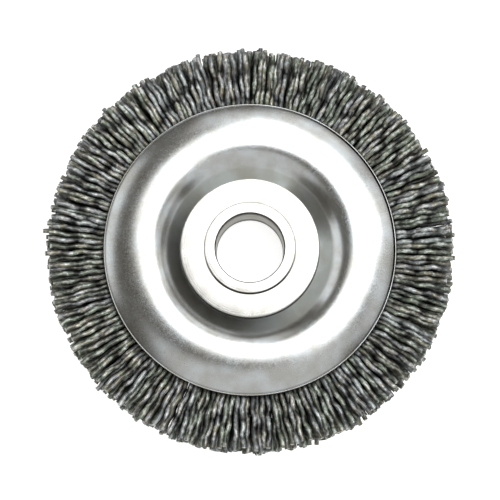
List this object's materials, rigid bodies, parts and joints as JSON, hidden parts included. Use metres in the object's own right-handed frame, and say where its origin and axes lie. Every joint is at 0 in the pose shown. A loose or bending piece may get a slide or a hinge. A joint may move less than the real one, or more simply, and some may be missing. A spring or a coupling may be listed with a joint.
{
  "type": "wheel brush",
  "caption": "Crimped-filament wheel brush: dished side plates clamp a ring of abrasive nylon filaments on a bored hub, for deburring and polishing on a powered arbor.",
  "frame": {"origin": "centre of the arbor bore, halfway between the two ends of the hub sleeve", "axes": "+Z along the arbor axis, out of the face that the picture shows; the brush lies flat on its rear hub face"},
  "size_m": [0.0762, 0.0762, 0.0126],
  "materials": {
    "hub_steel": "turned and bright plated",
    "plate_steel": "pressed sheet, satin",
    "core_steel": "plain mill steel",
    "filament_nylon": "grit-filled, crimped"
  },
  "bodies": {
    "root": {"hub_sleeve": "hub_steel", "hub_collar_front": "hub_steel", "hub_collar_rear": "hub_steel", "side_plate_front": "plate_steel", "side_plate_rear": "plate_steel", "core_washer": "core_steel", "retaining_ring": "core_steel", "filament_bundle_01": "filament_nylon", "filament_bundle_02": "filament_nylon", "filament_bundle_03": "filament_nylon", "filament_bundle_04": "filament_nylon", "filament_bundle_05": "filament_nylon", "filament_bundle_06": "filament_nylon", "filament_bundle_07": "filament_nylon", "filament_bundle_08": "filament_nylon", "filament_bundle_09": "filament_nylon", "filament_bundle_10": "filament_nylon", "filament_bundle_11": "filament_nylon", "filament_bundle_12": "filament_nylon", "filament_bundle_13": "filament_nylon", "filament_bundle_14": "filament_nylon", "filament_bundle_15": "filament_nylon", "filament_bundle_16": "filament_nylon", "filament_bundle_17": "filament_nylon", "filament_bundle_18": "filament_nylon", "filament_bundle_19": "filament_nylon", "filament_bundle_20": "filament_nylon", "filament_bundle_21": "filament_nylon", "filament_bundle_22": "filament_nylon", "filament_bundle_23": "filament_nylon", "filament_bundle_24": "filament_nylon", "filament_bundle_25": "filament_nylon", "filament_bundle_26": "filament_nylon", "filament_bundle_27": "filament_nylon", "filament_bundle_28": "filament_nylon", "filament_bundle_29": "filament_nylon", "filament_bundle_30": "filament_nylon", "filament_bundle_31": "filament_nylon", "filament_bundle_32": "filament_nylon", "filament_bundle_33": "filament_nylon", "filament_bundle_34": "filament_nylon", "filament_bundle_35": "filament_nylon", "filament_bundle_36": "filament_nylon", "filament_bundle_37": "filament_nylon", "filament_bundle_38": "filament_nylon", "filament_bundle_39": "filament_nylon", "filament_bundle_40": "filament_nylon", "filament_bundle_41": "filament_nylon", "filament_bundle_42": "filament_nylon", "filament_bundle_43": "filament_nylon", "filament_bundle_44": "filament_nylon", "filament_bundle_45": "filament_nylon", "filament_bundle_46": "filament_nylon", "filament_bundle_47": "filament_nylon", "filament_bundle_48": "filament_nylon"}
  },
  "joints": []
}
